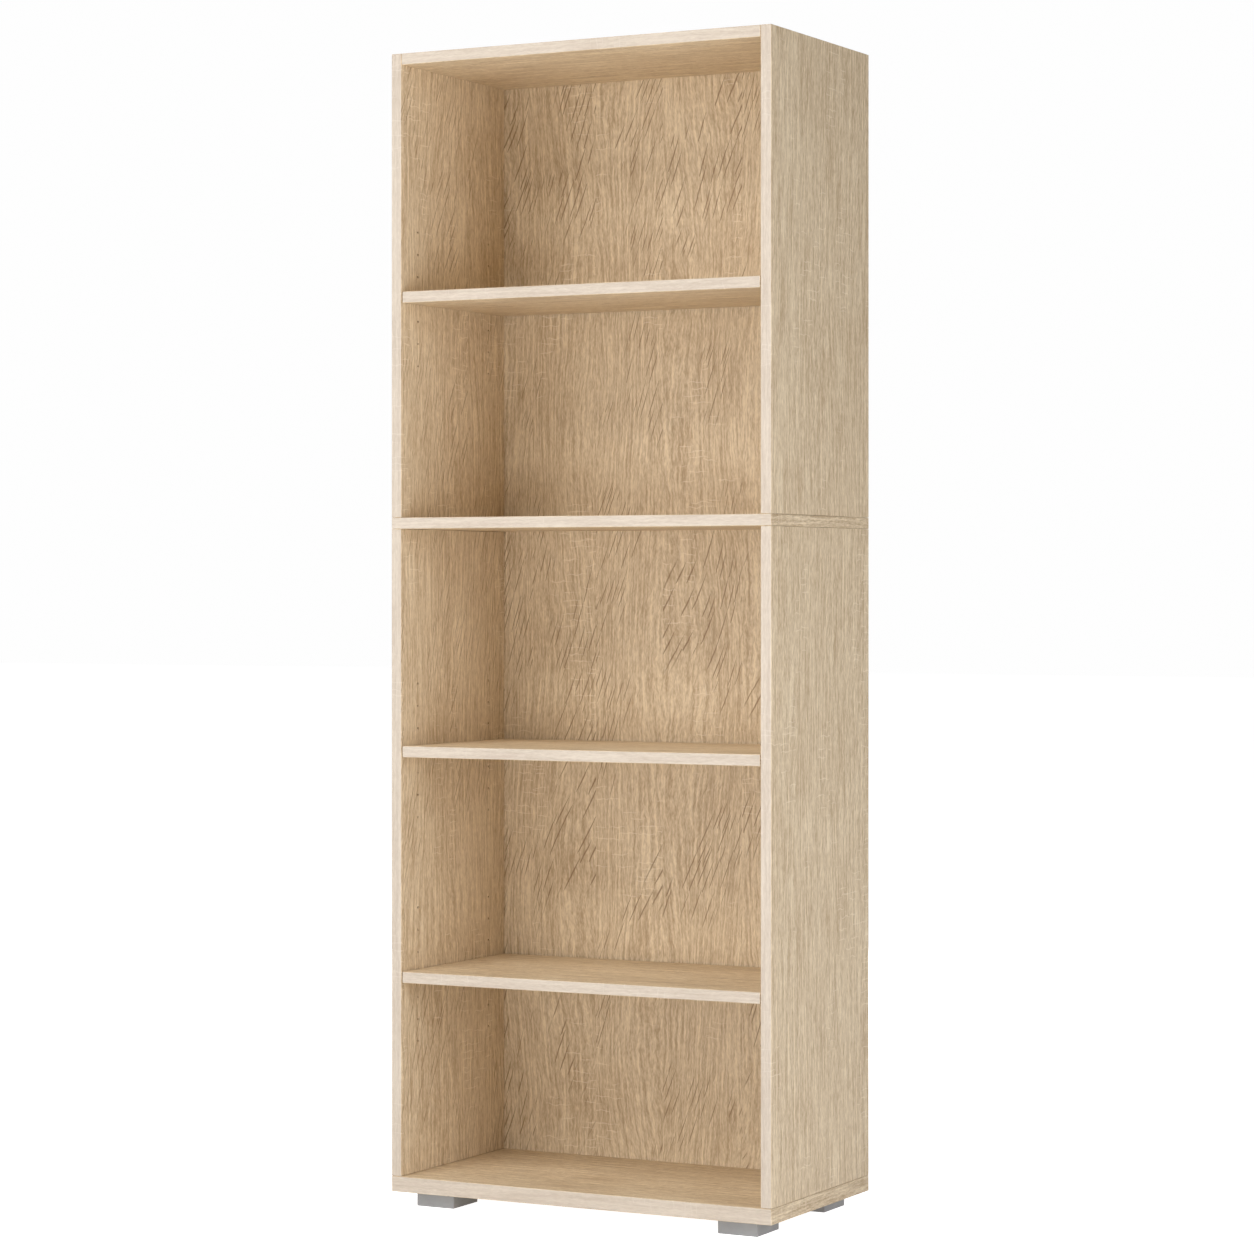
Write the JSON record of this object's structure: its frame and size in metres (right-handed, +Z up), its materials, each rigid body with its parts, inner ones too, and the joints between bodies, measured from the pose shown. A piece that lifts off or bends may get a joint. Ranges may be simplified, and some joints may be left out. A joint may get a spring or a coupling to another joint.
{
  "type": "bookcase",
  "caption": "Tall narrow open bookcase on low block feet, its sides in two tiers round a full-width middle panel, with loose shelves on concealed wires that adjust in height.",
  "frame": {"origin": "on the floor under the feet, at the centre of the footprint", "axes": "+Z up, -Y towards the open front, +X to the right as seen from the front"},
  "size_m": [0.6, 0.323, 1.6443],
  "materials": {
    "oak_decor": "matt melamine with a rough-sawn light oak print",
    "oak_decor_back": "matt printed fibreboard with the same oak print",
    "grey_plastic": "satin silver-grey moulded plastic",
    "zinc_plated_steel": "bright zinc plating",
    "beech": "raw fluted hardwood",
    "die_cast_zinc": "tumbled die casting"
  },
  "bodies": {
    "carcass": {"back_panel_lower": "oak_decor_back", "back_panel_upper": "oak_decor_back", "base_dowel_left_front": "beech", "base_dowel_left_rear": "beech", "base_dowel_right_front": "beech", "base_dowel_right_rear": "beech", "base_screw_left_front": "zinc_plated_steel", "base_screw_left_rear": "zinc_plated_steel", "base_screw_right_front": "zinc_plated_steel", "base_screw_right_rear": "zinc_plated_steel", "bottom_panel": "oak_decor", "cam_bolt_left_front": "zinc_plated_steel", "cam_bolt_left_rear": "zinc_plated_steel", "cam_bolt_right_front": "zinc_plated_steel", "cam_bolt_right_rear": "zinc_plated_steel", "cam_left_front": "die_cast_zinc", "cam_left_rear": "die_cast_zinc", "cam_right_front": "die_cast_zinc", "cam_right_rear": "die_cast_zinc", "foot_front_left": "grey_plastic", "foot_front_right": "grey_plastic", "foot_rear_left": "grey_plastic", "foot_rear_right": "grey_plastic", "foot_screw_front_left_1": "zinc_plated_steel", "foot_screw_front_left_2": "zinc_plated_steel", "foot_screw_front_right_1": "zinc_plated_steel", "foot_screw_front_right_2": "zinc_plated_steel", "foot_screw_rear_left_1": "zinc_plated_steel", "foot_screw_rear_left_2": "zinc_plated_steel", "foot_screw_rear_right_1": "zinc_plated_steel", "foot_screw_rear_right_2": "zinc_plated_steel", "lower_side_left": "oak_decor", "lower_side_right": "oak_decor", "middle_dowel_left_front": "beech", "middle_dowel_left_rear": "beech", "middle_dowel_right_front": "beech", "middle_dowel_right_rear": "beech", "middle_panel": "oak_decor", "middle_screw_left_front": "zinc_plated_steel", "middle_screw_left_rear": "zinc_plated_steel", "middle_screw_right_front": "zinc_plated_steel", "middle_screw_right_rear": "zinc_plated_steel", "top_dowel_left_front": "beech", "top_dowel_left_rear": "beech", "top_dowel_right_front": "beech", "top_dowel_right_rear": "beech", "top_panel": "oak_decor", "upper_side_left": "oak_decor", "upper_side_right": "oak_decor"},
    "upper_shelf_wires": {"upper_shelf_wire_left": "zinc_plated_steel", "upper_shelf_wire_right": "zinc_plated_steel"},
    "upper_shelf_board": {"upper_shelf": "oak_decor"},
    "lower_shelf_high_wires": {"lower_shelf_high_wire_left": "zinc_plated_steel", "lower_shelf_high_wire_right": "zinc_plated_steel"},
    "lower_shelf_high_board": {"lower_shelf_high": "oak_decor"},
    "lower_shelf_low_wires": {"lower_shelf_low_wire_left": "zinc_plated_steel", "lower_shelf_low_wire_right": "zinc_plated_steel"},
    "lower_shelf_low_board": {"lower_shelf_low": "oak_decor"}
  },
  "joints": [
    {"name": "upper_shelf_height", "type": "slide", "parent": "carcass", "child": "upper_shelf_wires", "axis": [0, 0, 1], "range_m": [-0.096, 0.096]},
    {"name": "upper_shelf_pull_out", "type": "slide", "parent": "upper_shelf_wires", "child": "upper_shelf_board", "axis": [0, -1, 0], "range_m": [0, 0.24]},
    {"name": "lower_shelf_high_height", "type": "slide", "parent": "carcass", "child": "lower_shelf_high_wires", "axis": [0, 0, 1], "range_m": [-0.096, 0.096]},
    {"name": "lower_shelf_high_pull_out", "type": "slide", "parent": "lower_shelf_high_wires", "child": "lower_shelf_high_board", "axis": [0, -1, 0], "range_m": [0, 0.24]},
    {"name": "lower_shelf_low_height", "type": "slide", "parent": "carcass", "child": "lower_shelf_low_wires", "axis": [0, 0, 1], "range_m": [-0.096, 0.096]},
    {"name": "lower_shelf_low_pull_out", "type": "slide", "parent": "lower_shelf_low_wires", "child": "lower_shelf_low_board", "axis": [0, -1, 0], "range_m": [0, 0.24]}
  ]
}
